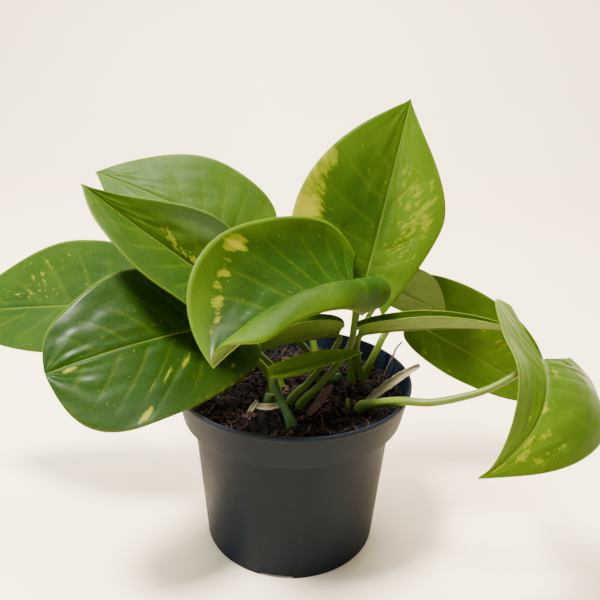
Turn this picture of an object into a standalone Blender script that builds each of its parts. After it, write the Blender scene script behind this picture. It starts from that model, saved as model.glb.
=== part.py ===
"""Potted pothos: a variegated leafy plant in a 12 cm nursery pot.

Metres, +Z up. The origin is the centre of the pot's base, on the surface that the pot
stands on, and the plant's best side faces -Y. Every leaf, leaf stalk, sheath and stub is
a closed solid of its own; the stalks stand in pockets in the soil.
"""
import math

import bmesh
import bpy
from mathutils import Matrix, Vector

# ---------------------------------------------------------------- driving dimensions
MM = 0.001
GAP = 0.3 * MM                # clearance between neighbouring solids

RIM_RADIUS = 60 * MM          # 12 cm pot
POT_HEIGHT = 89.5 * MM
BAND_HEIGHT = 18 * MM         # the stacking band below the rim
BAND_FOOT_RADIUS = 56 * MM
BODY_TOP_RADIUS = 50.7 * MM
BODY_FOOT_RADIUS = 45 * MM
POT_WALL = 1.3 * MM
FOOT_HEIGHT = 2.6 * MM        # the base floor is lifted by the foot ring
FOOT_WIDTH = 3 * MM
CENTRE_PAD_RADIUS = 11 * MM
NOTCH_WIDTH = 17 * MM
NOTCH_HEIGHT = 1.6 * MM
NOTCHES = 4
DRAIN_HOLES = 6
DRAIN_RADIUS = 4 * MM
DRAIN_CIRCLE = 28 * MM
POT_SEGMENTS = 48

SOIL_HEIGHT = 80 * MM         # mean height of the soil's surface
SOIL_BUMP = 1.2 * MM
SOIL_RINGS = 8
SOIL_SEGMENTS = 40
SOIL_FADE = 12 * MM           # the bumps die away over this distance from the wall
STEM_DEPTH = 12 * MM          # how far a stalk stands in the soil

BLADE = 0.9 * MM              # leaf thickness
BLADE_ROWS = 12               # along the midrib
BLADE_COLUMNS = 8             # across both halves
BELLY = (0.32, 0.32)          # where each half is widest, as a share of the length
EAR = (0.36, 0.36)            # how round each basal lobe is
FLANK = (0.5, 0.5)            # how full the margin is between lobe and belly
DRIP = 0.06                   # how blunt the tip is; 0.6 is round
NO_PINCH = ((0, 0.5), (0, 0.5))
PINCH_REACH = 0.22            # share of the length over which a pinch fades
BEND_STEPS = 8                # short straight steps that make up the curl of a half
LENGTH_STEPS = 24             # short straight steps that measure a midrib
SLOPE_STEP = 0.02             # share of a midrib over which its direction is taken
LEAF_ROUGHNESS = 0.4

TUBE_SIDES = 2                # bevel resolution of the stalks
JOINT_BACK = 1.5 * MM         # a stalk ends this far behind its leaf's base
JOINT_DROP = 1.8 * MM         # and this far below it
SHEATH_THICKNESS = 0.6 * MM
SHEATH_TAPER = 0.35           # width of a sheath's ends as a share of its middle
WELD = 0.01 * MM              # points closer than this are one point
SHARP_ANGLE = math.radians(35)

# ---------------------------------------------------------------- colours
POT_BLUE = (0.055, 0.068, 0.085)
SOIL_BROWN = (0.030, 0.016, 0.010)
LEAF_GREEN = (0.115, 0.245, 0.018)
LEAF_DARK = (0.035, 0.130, 0.020)
STALK_GREEN = (0.260, 0.400, 0.090)
SHEATH_TAN = (0.420, 0.360, 0.220)
DRY_BROWN = (0.210, 0.110, 0.060)
ROOT_BLACK = (0.020, 0.016, 0.012)

# ---------------------------------------------------------------- leaves
# Places in mm. "base" is where the stalk joins the blade, "tip" the drip tip. "face" is the
# way the upper side looks. "bow" lifts the midrib off the straight line at one third and at
# two thirds. "half" is the width of the left and the right half, seen from base to tip with
# the upper side up, and "lobe" how far each reaches back past the stalk. "fold" is the angle
# at which each half leaves the midrib and "curl" how much it turns by its margin, in
# degrees. "pinch" is extra curl round one place along the blade: (degrees, share of length).
LEAVES = {
    "leaf_top": dict(
        base=(37, 32, 127), tip=(57, 50, 223), face=(-0.2, -0.9, 0.4), bow=(-4, -3),
        half=(47, 33), lobe=(14, 13), belly=(0.30, 0.42), shoulder=(1, 0.35), ear=(0.36, 0.05),
        flank=(0.5, 0.25), fold=(10, 12), curl=(0, 0)),
    "leaf_centre": dict(
        base=(30, 5, 134), tip=(-32, -64, 124), face=(-0.1, 0, 1), bow=(6, 11),
        half=(28, 46), lobe=(8, 19), belly=(0.79, 0.48), shoulder=(1.3, 1.26), ear=(1.6, 0.52),
        flank=(0.56, 0.58), drip=0.3, fold=(87, 32), curl=(-137, 44), pinch=((-61, 0), (0, 0.5))),
    "leaf_front_left": dict(
        base=(-34, -6, 119), tip=(-103, -54, 114), face=(0.35, -0.6, 0.7), bow=(6, 10),
        half=(36, 37), lobe=(14, 6), belly=(0.62, 0.45), shoulder=(1.3, 0.66), drip=0.7,
        fold=(4, 4), curl=(-10, -10)),
    "leaf_mid_left": dict(
        base=(-28, 4, 128), tip=(-99, 0, 184), face=(0.3, -0.5, 0.8), bow=(0, -2),
        half=(36, 27), lobe=(12, 12), shoulder=(1.25, 0.15), fold=(25, 30), curl=(0, 0)),
    "leaf_back_left": dict(
        base=(-27, 40, 148), tip=(-110, 55, 181), face=(0.0, -0.6, 0.8), bow=(6, 4),
        half=(34, 36), lobe=(12, 10), shoulder=(0.7, 0.85), fold=(8, 8), curl=(0, 0)),
    "leaf_far_left": dict(
        base=(-84, 15, 120), tip=(-200, 38, 102), face=(0, -0.7, 0.7), bow=(4, 4),
        half=(27, 38), lobe=(12, 12), shoulder=(0.6, 0.2), fold=(5, 5), curl=(0, 0)),
    "leaf_right_back": dict(
        base=(63, 45, 104), tip=(164, 65, 41), face=(-0.2, -0.7, 0.6), bow=(2, 5),
        half=(36, 19), lobe=(12, -2), belly=(0.36, 0.32), shoulder=(1.3, 1), fold=(8, 8),
        curl=(0, 0)),
    "leaf_hanging_right": dict(
        base=(110, -36, 118), tip=(78, -68, 77), face=(0.55, -0.65, 0.5), bow=(20, 18),
        half=(43, 27), lobe=(11, 30), belly=(-0.05, -0.07), shoulder=(0.38, 0), ear=(0.43, 0.48),
        flank=(0.53, 0.57), fold=(30, -9), curl=(-50, 40), pinch=((0, 0.5), (-32, 0.05))),
    "leaf_lobe_back": dict(
        base=(51, 38, 125), tip=(86, 44, 107), face=(0.2, 0.9, -0.1), bow=(3, 3),
        half=(10, 17), lobe=(4, 5), fold=(0, 0), curl=(-10, -10)),
    "leaf_furled_right": dict(
        base=(34, 6, 111), tip=(116, 10, 112), face=(0, -0.1, 1), bow=(3, 4),
        half=(9, 10), lobe=(3, 3), shoulder=(0.9, 0.9), fold=(80, 60), curl=(0, 0)),
    "leaf_folded_low": dict(
        base=(23, 4, 111), tip=(-27, 4, 97), face=(0, 0.1, 1), bow=(2, 2),
        half=(12, 12), lobe=(3, 3), fold=(60, 60), curl=(0, 0)),
    "leaf_young": dict(
        base=(-9, -17, 97), tip=(33, -12, 108), face=(0, -0.3, 1), bow=(-2, 1),
        half=(7, 7), lobe=(3, 3), fold=(40, 30), curl=(0, 0)),
}

DARK_LEAVES = ("leaf_front_left", "leaf_right_back", "leaf_lobe_back")

# ---------------------------------------------------------------- stalks, sheaths, stubs
# Centre lines in mm from the soil upwards, with the radius at the soil and at the far end.
# A stalk with a "leaf" goes on to that leaf's base.
STALKS = {
    "stalk_top": dict(leaf="leaf_top", radius=(2.1, 1.3),
                      path=((31, 8, 80), (30, 10, 95), (31, 14, 106), (34, 24, 118))),
    "stalk_centre": dict(leaf="leaf_centre", radius=(2.2, 1.3),
                         path=((4, -15, 80), (12, -12, 88), (21, -7, 97), (28, -1, 106), (29.5, 1.5, 115),
                               (30, 3, 124))),
    "stalk_folded_low": dict(leaf="leaf_folded_low", radius=(2.1, 1.2),
                             path=((-1, -11, 80), (7, -8, 88), (15, -4, 97), (21, 0, 105))),
    "stalk_furled_right": dict(leaf="leaf_furled_right", radius=(2.1, 1.3),
                               path=((36, 10, 80), (34, 8, 92), (32, 6, 104))),
    "stalk_right_back": dict(leaf="leaf_right_back", radius=(2.3, 1.6),
                             path=((39, 19, 80), (44, 21, 92), (49, 26, 101), (56, 37, 104))),
    "stalk_lobe_back": dict(leaf="leaf_lobe_back", radius=(1.8, 1.2),
                            path=((32, 22, 80), (36, 28, 100), (42, 31, 113))),
    "stalk_hanging_right": dict(leaf="leaf_hanging_right", radius=(2.7, 1.3),
                                path=((33, -17, 80), (41, -25, 87.6), (51, -33, 93.4), (64, -38, 96),
                                      (84, -40, 103), (98, -39, 111))),
    "stalk_young": dict(leaf="leaf_young", radius=(2.6, 1.3),
                        path=((0, -36, 80), (-4, -28, 86), (-8, -20, 92))),
    "stalk_front_left": dict(leaf="leaf_front_left", radius=(2.2, 1.5),
                             path=((-9, -10, 80), (-12, -5, 91), (-21, -3, 101), (-31, 1, 112))),
    "stalk_mid_left": dict(leaf="leaf_mid_left", radius=(2.0, 1.3),
                           path=((12, 12, 80), (8, 13, 95), (-6, 13, 110), (-19, 13, 120))),
    "stalk_back_left": dict(leaf="leaf_back_left", radius=(1.9, 1.3),
                            path=((14, 22, 80), (8, 28, 102), (-8, 35, 128), (-19, 39, 142))),
    "stalk_far_left": dict(leaf="leaf_far_left", radius=(2.0, 1.4),
                           path=((-6, 4, 80), (-16, 9, 94), (-42, 13, 108), (-68, 15, 117))),
}

STUBS = {
    "stub_left": dict(path=((-12, -17, 74), (-12, -17, 81), (-11, -15, 86)), radius=(3.2, 2.6),
                      colour=STALK_GREEN),
    "stub_centre": dict(path=((20, 12, 74), (20, 12, 80), (25, 8, 84)), radius=(3.0, 2.4),
                        colour=LEAF_DARK),
    "stub_right": dict(path=((27, -16, 74), (27, -16, 80), (27, -15, 84)), radius=(1.6, 1.0),
                       colour=SHEATH_TAN),
    "root_thread": dict(path=((49, 17, 75), (50, 18, 82), (53, 18, 91), (55, 21, 95), (58, 20, 100)),
                        radius=(0.7, 0.5), colour=ROOT_BLACK),
}

SHEATHS = {
    "sheath_tan": dict(path=((37, -12, 81.5), (46, -8, 88), (55, -4, 93), (64, 0, 96)), width=2.2,
                       face=(0.3, -0.8, 0.5), colour=SHEATH_TAN, cup=0.6),
    "sheath_brown": dict(path=((7, -27, 82), (11, -22, 84), (15, -17, 87), (19, -13, 91)), width=2.0,
                         face=(0.6, -0.6, 0.5), colour=DRY_BROWN, cup=0.8),
    "sheath_crescent": dict(path=((-19, -20, 82), (-14, -24, 82), (-8, -23, 82), (-4, -19, 83)),
                            width=1.8, face=(0, -0.5, 1), colour=SHEATH_TAN, cup=0.8),
    "sheath_spike": dict(path=((-21, -27, 82), (-19, -23, 83), (-17, -20, 85)), width=1.2,
                         face=(0.4, -0.6, 0.5), colour=SHEATH_TAN, cup=0.3),
}


def vector(point):
    return Vector(point) * MM


def bezier(points, u):
    """Point on a Bezier curve of any degree (de Casteljau)."""
    points = [Vector(p) for p in points]
    while len(points) > 1:
        points = [a.lerp(b, u) for a, b in zip(points, points[1:])]
    return points[0]


def blade_margin(row, length, width, lobe, belly, shoulder, ear, flank, drip):
    """Margin of one half of the flat blade: round basal lobe, belly, shoulder, drip tip."""
    back = Vector((-lobe, 0.42 * width))
    widest = Vector((belly * length, width))
    if row < 0.4:
        reach = flank * (widest.x - back.x)
        corners = (back, back + Vector((0, ear * width)), widest - Vector((reach, 0)), widest)
        return bezier(corners, row / 0.4)
    ahead = (1 - belly) * length
    corners = (widest, widest + Vector((0.35 * ahead, 0)),
               Vector((length - 0.25 * ahead, shoulder * 0.72 * width)),
               Vector((length - 0.07 * ahead, drip * width)), Vector((length, 0)))
    return bezier(corners, (row - 0.4) / 0.6)


def blade_point(row, share, length, width, lobe, belly, shoulder, ear, flank, drip):
    """Point on a lateral vein, from the midrib (share 0) to the margin (share 1)."""
    margin = blade_margin(row, length, width, lobe, belly, shoulder, ear, flank, drip)
    root = Vector((length * row ** 1.9, 0))
    elbow = Vector((root.x + 0.35 * (margin.x - root.x), 0.55 * margin.y))
    return bezier((root, elbow, margin), share)


def bend_profile(distance, width, fold, curl):
    """Across and up for a half that leaves the midrib at fold and turns by curl."""
    across = up = 0.0
    for k in range(BEND_STEPS):
        angle = math.radians(fold + curl * (k + 0.5) / BEND_STEPS * distance / width)
        across += math.cos(angle) * distance / BEND_STEPS
        up += math.sin(angle) * distance / BEND_STEPS
    return across, up


def midrib(spec):
    """The four Bezier points of a leaf's midrib, and the way its upper side looks."""
    base, tip = vector(spec["base"]), vector(spec["tip"])
    chord = tip - base
    face = Vector(spec["face"]).normalized()
    lift = (face - face.project(chord)).normalized() * MM
    first, second = spec["bow"]
    return [base, base + chord / 3 + lift * first, base + chord * 2 / 3 + lift * second, tip], face


def make_leaf(name, spec, colour):
    rib, face = midrib(spec)
    steps = [bezier(rib, k / LENGTH_STEPS) for k in range(LENGTH_STEPS + 1)]
    length = sum((b - a).length for a, b in zip(steps, steps[1:]))

    def place(row, share):
        side = 0 if share < 0 else 1
        width = spec["half"][side] * MM
        flat = blade_point(row, abs(share), length, width, spec["lobe"][side] * MM,
                           spec.get("belly", BELLY)[side], spec.get("shoulder", (1, 1))[side],
                           spec.get("ear", EAR)[side], spec.get("flank", FLANK)[side],
                           spec.get("drip", DRIP))
        along = min(max(flat.x / length, 0.0), 1.0)
        ahead = bezier(rib, min(along + SLOPE_STEP, 1)) - bezier(rib, max(along - SLOPE_STEP, 0))
        ahead.normalize()
        up = (face - face.project(ahead)).normalized()
        left = up.cross(ahead)
        point = bezier(rib, along) + ahead * (flat.x - along * length)
        extra, where = spec.get("pinch", NO_PINCH)[side]
        curl = spec["curl"][side] + extra * math.exp(-((along - where) / PINCH_REACH) ** 2)
        across, rise = bend_profile(flat.y, width, spec["fold"][side], curl)
        return point + left * across * (1 if side == 0 else -1) + up * rise

    bm = bmesh.new()
    bmesh.ops.create_grid(bm, x_segments=BLADE_COLUMNS, y_segments=BLADE_ROWS, size=1)
    for vert in bm.verts:
        vert.co = place((vert.co.y + 1) / 2, vert.co.x)
    bmesh.ops.remove_doubles(bm, verts=bm.verts, dist=WELD)
    bmesh.ops.recalc_face_normals(bm, faces=bm.faces)
    if sum((f.normal.dot(face) * f.calc_area() for f in bm.faces)) < 0:
        bmesh.ops.reverse_faces(bm, faces=bm.faces)
    leaf = finish(name, bm, colour, LEAF_ROUGHNESS)
    skin = leaf.modifiers.new("thickness", "SOLIDIFY")
    skin.thickness = BLADE
    skin.offset = -1


def material(name, colour, roughness):
    mat = bpy.data.materials.new(name)
    mat.use_nodes = True
    shader = mat.node_tree.nodes["Principled BSDF"]
    shader.inputs["Base Color"].default_value = (*colour, 1)
    shader.inputs["Roughness"].default_value = roughness
    shader.inputs["Metallic"].default_value = 0.0
    return mat


def finish(name, bm, colour, roughness):
    mesh = bpy.data.meshes.new(name)
    bm.to_mesh(mesh)
    bm.free()
    mesh.materials.append(material(name, colour, roughness))
    mesh.shade_smooth()
    obj = bpy.data.objects.new(name, mesh)
    bpy.context.collection.objects.link(obj)
    return obj


def clear_scene():
    for obj in list(bpy.data.objects):
        bpy.data.objects.remove(obj)


def turned(name, profile, segments, colour, roughness):
    """A closed solid of revolution; the profile runs from the axis, round, and back to it."""
    bm = bmesh.new()
    verts = [bm.verts.new((x, 0, z)) for x, z in profile]
    edges = [bm.edges.new(pair) for pair in zip(verts, verts[1:])]
    bmesh.ops.spin(bm, geom=verts + edges, cent=(0, 0, 0), axis=(0, 0, 1),
                   angle=2 * math.pi, steps=segments, use_merge=True)
    bmesh.ops.remove_doubles(bm, verts=bm.verts, dist=WELD)
    bmesh.ops.recalc_face_normals(bm, faces=bm.faces)
    obj = finish(name, bm, colour, roughness)
    obj.data.set_sharp_from_angle(angle=SHARP_ANGLE)
    return obj


def tube(name, path, radius, colour, roughness=LEAF_ROUGHNESS):
    """A tapered round stem through the path's points, closed at both ends."""
    curve = bpy.data.curves.new(name, "CURVE")
    curve.dimensions = "3D"
    curve.bevel_depth = 1
    curve.bevel_resolution = TUBE_SIDES
    curve.use_fill_caps = True
    curve.resolution_u = 3
    spline = curve.splines.new("BEZIER")
    spline.bezier_points.add(len(path) - 1)
    for k, (knot, place) in enumerate(zip(spline.bezier_points, path)):
        knot.co = place
        knot.handle_left_type = knot.handle_right_type = "AUTO"
        knot.radius = radius[0] + (radius[1] - radius[0]) * k / (len(path) - 1)
    guide = bpy.data.objects.new(name + "_guide", curve)
    bpy.context.collection.objects.link(guide)
    bm = bmesh.new()
    bm.from_mesh(guide.evaluated_get(bpy.context.evaluated_depsgraph_get()).to_mesh())
    bpy.data.objects.remove(guide)
    bmesh.ops.remove_doubles(bm, verts=bm.verts, dist=WELD)
    bmesh.ops.recalc_face_normals(bm, faces=bm.faces)
    return finish(name, bm, colour, roughness)


def make_soil():
    """A loose fill that stands a little clear of the wall, with an uneven top."""
    z_step = POT_HEIGHT - BAND_HEIGHT
    slope = (RIM_RADIUS - BAND_FOOT_RADIUS) / BAND_HEIGHT
    edge = BAND_FOOT_RADIUS - POT_WALL + slope * (SOIL_HEIGHT - z_step) - 2 * GAP
    floor = FOOT_HEIGHT + POT_WALL + GAP
    profile = [(0, floor), (BODY_FOOT_RADIUS - POT_WALL - 2 * GAP, floor),
               (BODY_TOP_RADIUS - POT_WALL - 2 * GAP, z_step + 2 * GAP),
               (BAND_FOOT_RADIUS - POT_WALL - 3 * GAP, z_step + POT_WALL + 2 * GAP),
               (edge, SOIL_HEIGHT)]
    profile += [(edge * (1 - k / SOIL_RINGS), SOIL_HEIGHT) for k in range(1, SOIL_RINGS + 1)]
    soil = turned("soil", profile, SOIL_SEGMENTS, SOIL_BROWN, 0.9)
    for vert in soil.data.vertices:
        if vert.co.z > SOIL_HEIGHT - GAP:
            vert.co.z += soil_bump(vert.co.x, vert.co.y)
    return soil


def soil_bump(x, y):
    """Height of the soil's surface over its mean, flat at the wall."""
    fade = min(1.0, max(0.0, (RIM_RADIUS - math.hypot(x, y)) / SOIL_FADE) - 0.2)
    waves = math.sin(x * 210 + 1.0) * math.cos(y * 170) + 0.6 * math.sin(x * 90 - y * 330)
    return SOIL_BUMP * fade * waves


def pocket(soil, name, path, radius):
    """Cut the room for a buried stem, GAP wider than the stem."""
    path = [path[0] - Vector((0, 0, GAP))] + list(path[1:])
    cutter = tube(name, path, [r + GAP for r in radius], SOIL_BROWN)
    cutter.hide_render = True
    cutter.display_type = "WIRE"
    cut = soil.modifiers.new(name, "BOOLEAN")
    cut.operation = "DIFFERENCE"
    cut.solver = "EXACT"
    cut.object = cutter


def make_sheath(name, path, width, face, colour, cup):
    """A thin sheath or scale: a flat strip along a path, wide in the middle, cupped across."""
    path = [vector(p) for p in path]
    bm = bmesh.new()
    bmesh.ops.create_grid(bm, x_segments=4, y_segments=8, size=1)
    for vert in bm.verts:
        along, across = (vert.co.y + 1) / 2, vert.co.x
        ahead = bezier(path, min(along + SLOPE_STEP, 1)) - bezier(path, max(along - SLOPE_STEP, 0))
        ahead.normalize()
        side = ahead.cross(Vector(face)).normalized()
        up = side.cross(ahead)
        swell = math.sin(math.pi * (0.15 + 0.8 * along))
        reach = width * MM * (SHEATH_TAPER + (1 - SHEATH_TAPER) * swell)
        vert.co = bezier(path, along) + side * across * reach + up * cup * MM * across ** 2
    piece = finish(name, bm, colour, 0.7)
    skin = piece.modifiers.new("thickness", "SOLIDIFY")
    skin.thickness = SHEATH_THICKNESS
    skin.offset = 0


def leaf_joint(spec):
    """Where a stalk ends: just behind and below the base of its leaf."""
    rib, face = midrib(spec)
    ahead = (rib[1] - rib[0]).normalized()
    up = (face - face.project(ahead)).normalized()
    return rib[0] - ahead * JOINT_BACK - up * JOINT_DROP


def make_pot():
    """The wall from the centre of the base's underside, up the outside and down the inside."""
    z_step = POT_HEIGHT - BAND_HEIGHT
    foot_inside = BODY_FOOT_RADIUS - FOOT_WIDTH
    profile = [
        (0, 0), (CENTRE_PAD_RADIUS, 0), (CENTRE_PAD_RADIUS + 1 * MM, FOOT_HEIGHT),
        (foot_inside, FOOT_HEIGHT), (foot_inside + 0.5 * MM, 0),
        (BODY_FOOT_RADIUS, 0), (BODY_TOP_RADIUS, z_step - 1 * MM),
        (BAND_FOOT_RADIUS, z_step), (RIM_RADIUS - 0.8 * MM, POT_HEIGHT - 2.5 * MM),
        (RIM_RADIUS, POT_HEIGHT - 2 * MM), (RIM_RADIUS, POT_HEIGHT - 0.5 * MM),
        (RIM_RADIUS - 0.5 * MM, POT_HEIGHT), (RIM_RADIUS - POT_WALL, POT_HEIGHT),
        (BAND_FOOT_RADIUS - POT_WALL, z_step + POT_WALL),
        (BODY_TOP_RADIUS - POT_WALL, z_step + 0.4 * MM),
        (BODY_FOOT_RADIUS - POT_WALL, FOOT_HEIGHT + POT_WALL), (0, FOOT_HEIGHT + POT_WALL)]
    return turned("pot", profile, POT_SEGMENTS, POT_BLUE, 0.5)


def cut_foot(pot):
    """Drain notches in the foot ring and drain holes in the base."""
    for k in range(NOTCHES):
        angle = 2 * math.pi * k / NOTCHES - math.pi / 2 - math.radians(8)
        place_cutter(pot, "notch_%d" % k, "CUBE", (FOOT_WIDTH * 3, NOTCH_WIDTH, 2 * NOTCH_HEIGHT),
                     (BODY_FOOT_RADIUS, 0, 0), angle)
    for k in range(DRAIN_HOLES):
        angle = 2 * math.pi * (k + 0.5) / DRAIN_HOLES
        place_cutter(pot, "drain_%d" % k, "CYLINDER", (DRAIN_RADIUS, DRAIN_RADIUS, 10 * MM),
                     (DRAIN_CIRCLE, 0, FOOT_HEIGHT), angle)


def place_cutter(pot, name, shape, size, place, angle):
    bm = bmesh.new()
    if shape == "CUBE":
        bmesh.ops.create_cube(bm, size=1)
    else:
        bmesh.ops.create_cone(bm, cap_ends=True, segments=16, radius1=1, radius2=1, depth=1)
    bmesh.ops.scale(bm, vec=size, verts=bm.verts)
    bmesh.ops.translate(bm, vec=place, verts=bm.verts)
    bmesh.ops.rotate(bm, cent=(0, 0, 0), matrix=Matrix.Rotation(angle, 3, "Z"), verts=bm.verts)
    cutter = finish(name, bm, POT_BLUE, 0.5)
    cutter.hide_render = True
    cutter.display_type = "WIRE"
    cut = pot.modifiers.new(name, "BOOLEAN")
    cut.operation = "DIFFERENCE"
    cut.solver = "EXACT"
    cut.object = cutter


def main():
    clear_scene()
    cut_foot(make_pot())
    soil = make_soil()
    for name, spec in LEAVES.items():
        make_leaf(name, spec, LEAF_DARK if name in DARK_LEAVES else LEAF_GREEN)
    for name, stalk in STALKS.items():
        path = [vector(point) for point in stalk["path"]]
        path.insert(0, path[0] - Vector((0, 0, STEM_DEPTH)))
        path.append(leaf_joint(LEAVES[stalk["leaf"]]))
        radius = [r * MM for r in stalk["radius"]]
        tube(name, path, radius, STALK_GREEN)
        pocket(soil, name + "_pocket", path, radius)
    for name, stub in STUBS.items():
        path = [vector(point) for point in stub["path"]]
        radius = [r * MM for r in stub["radius"]]
        tube(name, path, radius, stub["colour"])
        pocket(soil, name + "_pocket", path, radius)
    for name, sheath in SHEATHS.items():
        make_sheath(name, **sheath)


main()
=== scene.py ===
# %% [markdown]
# # A potted pothos
#
# This lesson finishes a young variegated pothos in a 12 cm nursery pot. The frame already
# holds every piece as a plain closed solid in its right place. Here each one gets the skin
# that the real thing has: quilted, waxy blades with sunken veins, fleshy stalks, papery
# sheaths, crumbly soil and satin moulded plastic. Nothing is moved or resized, so the first
# step loads the frame and counts its nodes.

# %% Load the frame
import math
import random

import bmesh
import bpy
from mathutils import Matrix, Quaternion, Vector, noise


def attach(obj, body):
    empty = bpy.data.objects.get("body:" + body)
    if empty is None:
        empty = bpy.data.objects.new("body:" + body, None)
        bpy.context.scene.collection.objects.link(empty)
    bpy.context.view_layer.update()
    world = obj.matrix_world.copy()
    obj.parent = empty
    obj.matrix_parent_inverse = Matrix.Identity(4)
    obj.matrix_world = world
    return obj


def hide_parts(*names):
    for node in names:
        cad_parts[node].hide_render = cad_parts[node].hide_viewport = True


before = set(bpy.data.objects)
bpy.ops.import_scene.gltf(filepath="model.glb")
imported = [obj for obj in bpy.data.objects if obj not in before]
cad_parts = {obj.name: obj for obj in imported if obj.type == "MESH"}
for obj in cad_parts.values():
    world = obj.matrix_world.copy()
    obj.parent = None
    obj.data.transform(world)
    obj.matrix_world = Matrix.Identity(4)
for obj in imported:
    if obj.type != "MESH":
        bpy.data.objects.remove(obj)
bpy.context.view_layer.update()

MM = 0.001
print("frame:", len(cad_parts), "nodes")

# %% [markdown]
# ## One camera for the plant's best side
#
# The camera stands a hand's breadth above the pot's rim and looks down on it, as a person at
# a table does. Its place and its three turns are given as plain numbers. The matrix is built
# from the turns in the order that a tripod has them: pan, then tilt, then roll.

# %% Camera
EYE = Vector((0, -284.5, 233.7)) * MM
PAN, TILT, ROLL = math.radians(-0.49), math.radians(90 - 20.08), math.radians(1.5)
LENS = 37.2

camera = bpy.data.objects.new("camera", bpy.data.cameras.new("camera"))
camera.data.lens = LENS
camera.data.clip_start = 10 * MM
turns = Matrix.Rotation(PAN, 4, "Z") @ Matrix.Rotation(TILT, 4, "X") @ Matrix.Rotation(ROLL, 4, "Z")
camera.matrix_world = Matrix.Translation(EYE) @ turns
bpy.context.collection.objects.link(camera)
bpy.context.scene.camera = camera
print("camera at", tuple(round(c, 3) for c in EYE))

# %% [markdown]
# ## Writing shader maths as Python
#
# A finish is a web of nodes, and a web is hard to read as code. Two small classes make it
# readable. A Wire is one number on its way between nodes, and adding or multiplying wires
# adds the Math nodes. A Finish is one material: its node method adds any other node from its
# type, its settings and its inputs, and its wear method joins the results to the shader.

# %% Wire and Finish
class Wire:
    """A socket's value; arithmetic on it adds Math nodes to its material."""

    def __init__(self, finish, socket):
        self.finish = finish
        self.socket = socket

    def math(self, operation, first, second=0.0):
        return self.finish.node("ShaderNodeMath", {"operation": operation}, {0: first, 1: second})

    def __add__(self, other):
        return self.math("ADD", self, other)

    def __sub__(self, other):
        return self.math("SUBTRACT", self, other)

    def __rsub__(self, other):
        return self.math("SUBTRACT", other, self)

    def __mul__(self, other):
        return self.math("MULTIPLY", self, other)

    __radd__ = __add__
    __rmul__ = __mul__

    def ease(self, low, high):
        """0 below low, 1 above high, and a smooth step between them."""
        return self.finish.node("ShaderNodeMapRange", {"interpolation_type": "SMOOTHSTEP"},
                                {"Value": self, "From Min": low, "From Max": high})


class Finish:
    """A material with one Principled shader, and the few calls that build its nodes."""

    def __init__(self, name, **uniform):
        self.material = bpy.data.materials.new(name)
        self.material.use_nodes = True
        self.tree = self.material.node_tree
        self.shader = self.tree.nodes["Principled BSDF"]
        for socket, value in uniform.items():
            self.shader.inputs[socket.replace("_", " ")].default_value = value

    def join(self, node, key, value):
        socket = node.inputs[key]
        if isinstance(value, Wire):
            self.tree.links.new(value.socket, socket)
        elif socket.type == "RGBA":
            socket.default_value = (*value, 1)
        else:
            socket.default_value = value

    def node(self, kind, settings, inputs, output=0):
        node = self.tree.nodes.new(kind)
        for key, value in settings.items():
            setattr(node, key, value)
        for key, value in inputs.items():
            self.join(node, key, value)
        return Wire(self, node.outputs[output])

    def mix(self, share, first, second, blend="MIX"):
        settings = {"data_type": "RGBA", "blend_type": blend}
        return self.node("ShaderNodeMix", settings, {0: share, 6: first, 7: second}, 2)

    def place(self, scale=(1, 1, 1), kind="Object"):
        """Object coordinates or the piece's own UV map, stretched by scale."""
        if kind == "Object":
            where = self.node("ShaderNodeTexCoord", {}, {}, "Object")
        else:
            where = self.node("ShaderNodeUVMap", {"uv_map": kind}, {})
        return self.node("ShaderNodeMapping", {}, {"Vector": where, "Scale": scale})

    def noise(self, where, scale, detail=3.0, roughness=0.55):
        return self.node("ShaderNodeTexNoise", {},
                         {"Vector": where, "Scale": scale, "Detail": detail, "Roughness": roughness})

    def cells(self, where, scale, feature="F1"):
        return self.node("ShaderNodeTexVoronoi", {"feature": feature},
                         {"Vector": where, "Scale": scale}, "Distance")

    def painted(self, name):
        """A number painted on the mesh's own points."""
        return self.node("ShaderNodeAttribute", {"attribute_name": name}, {}, "Fac")

    def wear(self, colour, roughness, height=None, depth=0.1 * MM, **varying):
        self.join(self.shader, "Base Color", colour)
        self.join(self.shader, "Roughness", roughness)
        for socket, value in varying.items():
            self.join(self.shader, socket.replace("_", " "), value)
        if height is not None:
            bump = self.node("ShaderNodeBump", {}, {"Height": height, "Distance": depth}, "Normal")
            self.join(self.shader, "Normal", bump)
        print("finish:", self.material.name, len(self.tree.nodes), "nodes")
        return self.material


def keep(name, bm, materials, *nodes, slot):
    """Make the bmesh a piece that rides on the frame and stands for its CAD nodes."""
    mesh = bpy.data.meshes.new(name)
    bm.to_mesh(mesh)
    bm.free()
    mesh.shade_smooth()
    for material in materials:
        mesh.materials.append(material)
    piece = bpy.data.objects.new(name, mesh)
    bpy.context.collection.objects.link(piece)
    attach(piece, "root")
    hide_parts(*nodes)
    return piece

# %% [markdown]
# ## The finish of a living blade
#
# A pothos blade is waxy and deep green, and parts of it never made green pigment, so
# cream and lime streaks run outwards along its side veins. The pattern has to follow the
# blade, so each blade carries its own map and a few painted numbers: how yellow and how bright
# its green is, which on two leaves also holds painted shade and painted light shining through,
# how pale it is, how near a side vein, and how near the midrib. One finish reads them for
# every leaf, so that all the leaves are plainly from one plant.

# %% Upper side of the blades
DEEP_GREEN = (0.008, 0.025, 0.001)
BRIGHT_GREEN = (0.046, 0.086, 0.001)
LIME = (0.120, 0.135, 0.002)
CREAM = (0.215, 0.190, 0.004)
RIB_GREEN = (0.060, 0.095, 0.006)
VEIN_GREEN = (0.055, 0.085, 0.002)
NET_GREEN = (0.065, 0.10, 0.004)
EDGE_GREEN = (0.085, 0.12, 0.004)
PLANT_IOR = 1.3               # low, so that the skin doesn't whiten at grazing angles
FLESH = dict(Subsurface_Weight=0.4, Subsurface_Scale=1.2 * MM, Subsurface_Radius=(0.6, 1.0, 0.05))
NET_DEPTH = 0.12 * MM


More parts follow.
